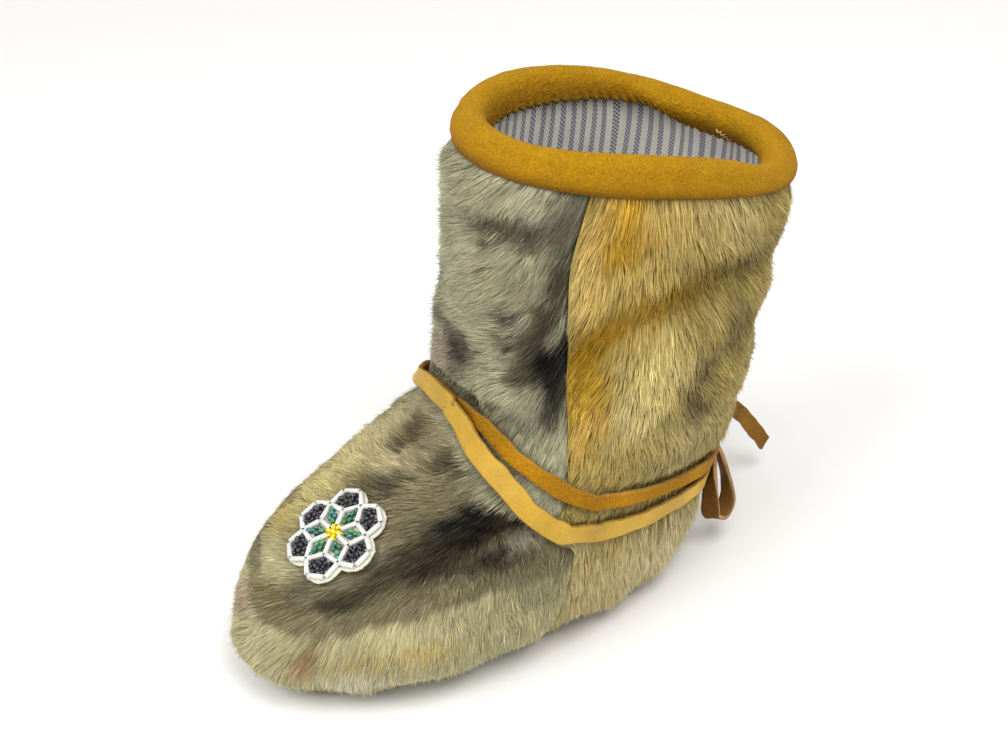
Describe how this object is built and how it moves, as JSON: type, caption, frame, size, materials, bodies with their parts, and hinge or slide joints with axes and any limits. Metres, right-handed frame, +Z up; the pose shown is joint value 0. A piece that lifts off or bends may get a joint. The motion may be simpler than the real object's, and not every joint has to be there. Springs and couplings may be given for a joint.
{
  "type": "mukluk boot",
  "caption": "Child's fur mukluk: hollow fur foot and tall fur shaft on a soft flat sole, leather collar binding, a thong wound round the ankle and tied behind, and a beaded flower on the vamp.",
  "frame": {"origin": "on the floor under the middle of the sole", "axes": "+Z up, the toes towards -Y, the outer side of the left foot towards +X"},
  "size_m": [0.1032, 0.2385, 0.1944],
  "materials": {
    "fur": "short shiny seal fur, mottled grey, cream and gold, in one thickness with its hide and lining",
    "hide": "soft smoked moosehide, mustard, suede on one side",
    "sole_hide": "thicker moosehide, suede side down",
    "felt": "cream wool felt",
    "beads": "sewn glass beads, white, green, yellow and dark blue, on felt"
  },
  "bodies": {
    "root": {"upper": "fur", "shaft": "fur", "sole": "sole_hide", "insole": "felt", "collar_binding": "hide", "lace_wraps": "hide", "tie_knot": "hide", "bow_loop_outer": "hide", "bow_loop_inner": "hide", "tie_end_back": "hide", "tie_end_inner": "hide", "bead_rosette": "beads"}
  },
  "joints": []
}
